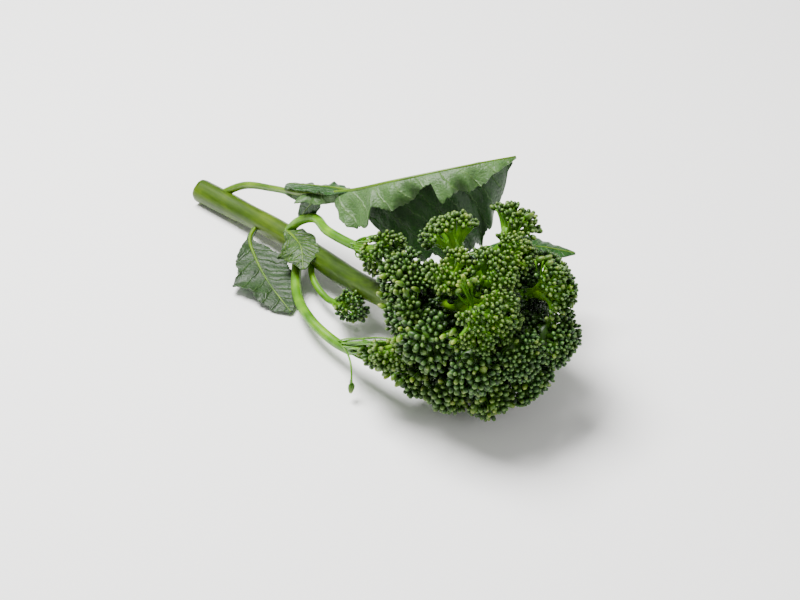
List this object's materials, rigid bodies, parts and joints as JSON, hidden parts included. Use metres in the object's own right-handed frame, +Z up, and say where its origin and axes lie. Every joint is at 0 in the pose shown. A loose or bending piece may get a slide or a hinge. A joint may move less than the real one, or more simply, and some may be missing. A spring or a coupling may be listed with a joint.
{
  "type": "sprouting broccoli spear",
  "caption": "Cut spear of sprouting broccoli lying on its side: round stem rising into a loose ball-shaped head of flower buds, with side shoots and leaves.",
  "frame": {"origin": "middle of the footprint, on the surface that the spear lies on", "axes": "+X from the cut end of the stem towards the head, +Y to the side that the large leaf leans to, +Z up"},
  "size_m": [0.193, 0.0928, 0.0683],
  "materials": {
    "stem_skin": "smooth waxy yellow-green plant skin, slightly glossy",
    "stalk_skin": "smooth bright yellow-green plant skin",
    "flower_buds": "small closed flower buds, dark green with a pale waxy bloom",
    "leaf_blade": "veined leaf, dark green above and pale blue-green beneath"
  },
  "bodies": {
    "root": {"main_stem": "stem_skin", "floret_01_buds": "flower_buds", "floret_02_buds": "flower_buds", "floret_03_buds": "flower_buds", "floret_04_buds": "flower_buds", "floret_05_buds": "flower_buds", "floret_06_buds": "flower_buds", "floret_07_buds": "flower_buds", "floret_08_buds": "flower_buds", "floret_09_buds": "flower_buds", "floret_10_buds": "flower_buds", "floret_11_buds": "flower_buds", "floret_12_buds": "flower_buds", "floret_13_buds": "flower_buds", "floret_14_buds": "flower_buds", "floret_15_buds": "flower_buds", "floret_16_buds": "flower_buds", "floret_17_buds": "flower_buds", "floret_18_buds": "flower_buds", "floret_19_buds": "flower_buds", "floret_20_buds": "flower_buds", "floret_21_buds": "flower_buds", "floret_22_buds": "flower_buds", "floret_23_buds": "flower_buds", "floret_24_buds": "flower_buds", "upper_shoot_buds": "flower_buds", "lower_shoot_buds": "flower_buds", "trailing_shoot_buds": "flower_buds", "floret_01_stalk": "stalk_skin", "floret_02_stalk": "stalk_skin", "floret_03_stalk": "stalk_skin", "floret_04_stalk": "stalk_skin", "floret_05_stalk": "stalk_skin", "floret_06_stalk": "stalk_skin", "floret_07_stalk": "stalk_skin", "floret_08_stalk": "stalk_skin", "floret_09_stalk": "stalk_skin", "floret_10_stalk": "stalk_skin", "floret_11_stalk": "stalk_skin", "floret_12_stalk": "stalk_skin", "floret_13_stalk": "stalk_skin", "floret_14_stalk": "stalk_skin", "floret_15_stalk": "stalk_skin", "floret_16_stalk": "stalk_skin", "floret_17_stalk": "stalk_skin", "floret_18_stalk": "stalk_skin", "floret_19_stalk": "stalk_skin", "floret_20_stalk": "stalk_skin", "floret_21_stalk": "stalk_skin", "floret_22_stalk": "stalk_skin", "floret_23_stalk": "stalk_skin", "floret_24_stalk": "stalk_skin", "upper_shoot_stalk": "stalk_skin", "lower_shoot_stalk": "stalk_skin", "trailing_shoot_stalk": "stalk_skin", "large_leaf": "leaf_blade", "stem_leaf": "leaf_blade", "lower_leaf": "leaf_blade", "crown_leaf": "leaf_blade"}
  },
  "joints": []
}
